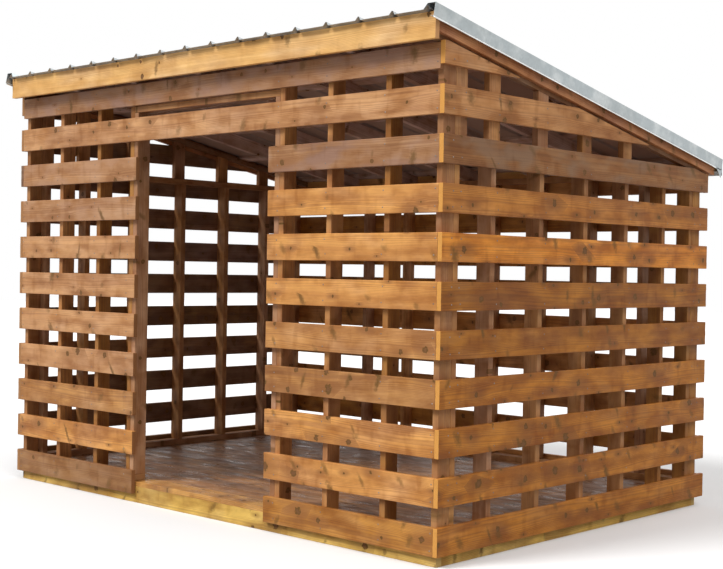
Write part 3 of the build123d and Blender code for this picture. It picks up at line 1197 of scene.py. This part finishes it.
@dataclass
class Fixings:
    """Nails of the walls, screws of the deck and washered screws of the roof."""

    finishes: Finishes
    shape: Frame
    nail_edge: float = 0.030
    touch: float = 0.004
    near_end: float = 0.015
    far_end: float = 0.010
    post_end: float = 0.01
    roof_clearance: float = 0.15
    deck_edge: float = 0.034
    deck_sink: float = 0.6
    rib_pitch: float = 0.2286
    rib_side: float = 0.030
    rib_count: int = 16
    end_rib_side: float = 0.085
    sheet_skin: float = 0.0007
    trim_screw_inset: float = 0.079
    trim_screw_pitch: float = 0.55
    trim_screw_end: float = 0.06
    trim_skin: float = 0.0017
    post_play: float = 0.006
    height_play: float = 0.005
    joist_play: float = 0.004
    deck_play: float = 0.003
    rng: random.Random = field(default_factory=lambda: random.Random(5))

    def build(self) -> None:
        """Drives every nail and screw."""
        nail = NAIL.model()
        self._drive(nail, "wall_nails", list(self._wall_places()))
        self._drive(nail, "deck_screws", list(self._deck_places()))
        screw = Bench.join([WASHER.model(), HEXAGON.model()], "roof_screw")
        self._drive(screw, "roof_screws", list(self._roof_places()))
        for head in (nail, screw):
            bpy.data.objects.remove(head)

    def _drive(self, head: Piece, name: str, places: Sequence[Matrix]) -> None:
        """Copies a head to its places and joins the copies into one piece of a name.

        Args:
            head: The head.
            name: The name of the piece.
            places: Where the heads go.
        """
        made = Bench.join([Bench.copy(head, place) for place in places], name)
        Bench.paint(made, self.finishes.steels[Steel.FIXING])
        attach(made, BODY)
        log.info("%s: %d heads", name, len(places))

    def _wall_places(self) -> Iterator[Matrix]:
        """Finds where slats cross studs.

        Yields:
            The places of two nails a crossing.
        """
        front = ("front_left_studs", "front_right_studs", "door_king_studs")
        left = ("left_studs", "left_gable_studs", "front_left_studs", "back_studs")
        right = ("right_studs", "right_gable_studs", "front_right_studs", "back_studs")
        walls = (
            (("front_left_slats", "front_right_slats", "door_head_slat",
              "front_header_board"), front, 1, -1.0),
            (("back_slats",), ("back_studs",), 1, 1.0),
            (("left_slats",), left, 0, -1.0),
            (("right_slats",), right, 0, 1.0),
        )
        for slats, studs, axis, side in walls:
            posts = [box for node in studs for box in self.shape.solids(node)]
            for node in slats:
                for slat in self.shape.solids(node):
                    yield from self._crossings(slat, posts, axis, side)

    def _crossings(self, slat: Box, posts: Sequence[Box], axis: int,
                   side: float) -> Iterator[Matrix]:
        """The nails of one slat.

        Args:
            slat: The slat's corners.
            posts: The corners of the studs behind it.
            axis: The axis that the wall looks along, 0 or 1.
            side: -1 or 1, the way that the wall looks.

        Yields:
            The place of each nail.
        """
        low, high = slat
        along, outer = 1 - axis, int(side > 0)
        angle, about = (90.0, "Y") if axis == 0 else (-90.0, "X")
        turn = Matrix.Rotation(math.radians(angle) * side, 4, about)
        for post in posts:
            centre = (post[0][along] + post[1][along]) / 2
            if (abs(post[outer][axis] - slat[1 - outer][axis]) > self.touch
                    or not low[along] + self.near_end < centre < high[along] - self.far_end):
                continue
            for z in (low.z + self.nail_edge, high.z - self.nail_edge):
                spot = Vector((0.0, 0.0, self._about(z, self.height_play)))
                spot[axis] = slat[outer][axis]
                spot[along] = self._about(centre, self.post_play)
                top = min(post[1].z - self.post_end,
                          self.shape.roof_height(spot.y) - self.roof_clearance)
                if post[0].z + self.post_end < spot.z < top or axis == 1:
                    yield Matrix.Translation(spot) @ turn

    def _about(self, value: float, spread: float) -> float:
        """A number near another."""
        return value + self.rng.uniform(-spread, spread)

    def _deck_places(self) -> Iterator[Matrix]:
        """Finds where deck boards cross joists.

        Yields:
            The places of two screws a crossing.
        """
        joists = self.shape.solids("floor_joists")
        boards = self.shape.solids("deck_boards") + self.shape.solids("front_deck_board")
        for low, high in boards:
            for joist_low, joist_high in joists:
                centre = (joist_low.x + joist_high.x) / 2
                for y in (low.y + self.deck_edge, high.y - self.deck_edge):
                    yield Matrix.Translation((self._about(centre, self.joist_play),
                                              self._about(y, self.deck_play),
                                              high.z - NAIL.height * self.deck_sink))

    def _roof_places(self) -> Iterator[Matrix]:
        """Follows the ribs over the battens, and then the gable trims.

        Yields:
            The place of each screw.
        """
        sheet_low, sheet_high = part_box("roof_sheet_1")
        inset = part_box("right_gable_trim")[1].x - self.trim_screw_inset
        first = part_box("roof_battens")[0].x
        for low, high in self.shape.solids("roof_battens"):
            middle = (low.y + high.y) / 2
            for k in range(self.rib_count):
                x = first + k * self.rib_pitch + (self.rib_side if k else self.end_rib_side)
                yield self.shape.on_roof(x, middle, self.sheet_skin)
        reach = sheet_high.y - sheet_low.y
        count = int(reach / self.trim_screw_pitch)
        pitch = (reach - 2 * self.trim_screw_end) / count
        for k in range(count + 1):
            y = sheet_low.y + self.trim_screw_end + k * pitch
            for side in (-1.0, 1.0):
                yield self.shape.on_roof(side * inset, y, self.trim_skin)


# ---------------- studio


@dataclass(frozen=True)
class Lamp:
    """A soft distant lamp."""

    name: str
    azimuth: float
    elevation: float
    strength: float
    softness: float

    def place(self) -> None:
        """Adds the lamp, shining from its azimuth and elevation in degrees."""
        lamp = bpy.data.lights.new(self.name, "SUN")
        lamp.energy, lamp.angle = self.strength, math.radians(self.softness)
        holder = bpy.data.objects.new(self.name, lamp)
        holder.rotation_euler = (math.radians(90.0 - self.elevation), 0.0,
                                 math.radians(self.azimuth))
        bpy.context.scene.collection.objects.link(holder)


@dataclass
class Studio:
    """Pale floor, soft light and the camera."""

    camera_place: tuple[float, float, float] = (5.854, -5.859, 1.414)
    yaw: float = 41.36
    pitch: float = -0.53
    roll: float = 0.97
    lens: float = 64.0
    shift: float = -0.0965
    far: float = 200.0
    ambient: float = 0.42
    floor_size: float = 80.0
    floor_seen: Colour = (0.90, 0.90, 0.90)
    floor_bounce: Colour = (0.33, 0.33, 0.33)
    lamps: tuple[Lamp, ...] = (
        Lamp("key_lamp", -24.0, 45.0, 2.5, 24.0),
        Lamp("side_lamp", 78.0, 52.0, 1.0, 34.0),
        Lamp("back_lamp", 172.0, 52.0, 0.6, 34.0),
    )

    def build(self) -> None:
        """Sets up the studio."""
        scene = bpy.context.scene
        scene.view_settings.view_transform = "Standard"
        self._floor()
        self._world(scene)
        for lamp in self.lamps:
            lamp.place()
        self._camera(scene)

    def _floor(self) -> None:
        """A plain pale floor that shows white and keeps the shadow."""
        Bench.clear()
        bpy.ops.mesh.primitive_plane_add(size=self.floor_size)
        floor = bpy.context.object
        floor.name = "studio_floor"
        g = Graph(bpy.data.materials.new("studio_floor_finish"))
        paint = g.blend(g.seen(), self.floor_bounce, self.floor_seen)
        surface = g.node("BsdfDiffuse", inputs={"Color": paint})
        g.node("OutputMaterial", inputs={"Surface": surface.outputs[0]})
        floor.data.materials.append(g.owner)

    def _world(self, scene: bpy.types.Scene) -> None:
        """An even world: soft light, and white wherever it is seen.

        Args:
            scene: The scene.
        """
        scene.world = scene.world or bpy.data.worlds.new("studio_world")
        g = Graph(scene.world)
        strength = g.node("MapRange", inputs={"Value": g.seen(), "To Min": self.ambient})
        sky = g.node("Background", inputs={"Color": WHITE, "Strength": strength.outputs[0]})
        g.node("OutputWorld", inputs={"Surface": sky.outputs[0]})

    def _camera(self, scene: bpy.types.Scene) -> None:
        """The camera at the corner of the front and the right side.

        Args:
            scene: The scene.
        """
        lens = bpy.data.cameras.new("studio_camera")
        lens.lens, lens.shift_x = self.lens, self.shift
        lens.clip_end = self.far
        camera = bpy.data.objects.new("studio_camera", lens)
        turn = (Matrix.Rotation(math.radians(self.yaw), 4, "Z")
                @ Matrix.Rotation(math.radians(90.0 + self.pitch), 4, "X")
                @ Matrix.Rotation(math.radians(self.roll), 4, "Z"))
        camera.matrix_world = Matrix.Translation(self.camera_place) @ turn
        scene.collection.objects.link(camera)
        scene.camera = camera


def main() -> None:
    """Builds the store and its studio."""
    logging.basicConfig(level=logging.INFO, format="%(name)s %(message)s")
    finishes, shape = Finishes(), Frame()
    carpenter = Carpenter(finishes, shape)
    for assembly in (Base(carpenter), WallFrames(carpenter), Cladding(carpenter),
                     RoofTimbers(carpenter), RoofMetal(finishes, shape),
                     Fixings(finishes, shape), Studio()):
        assembly.build()


if __name__ == "__main__":
    main()
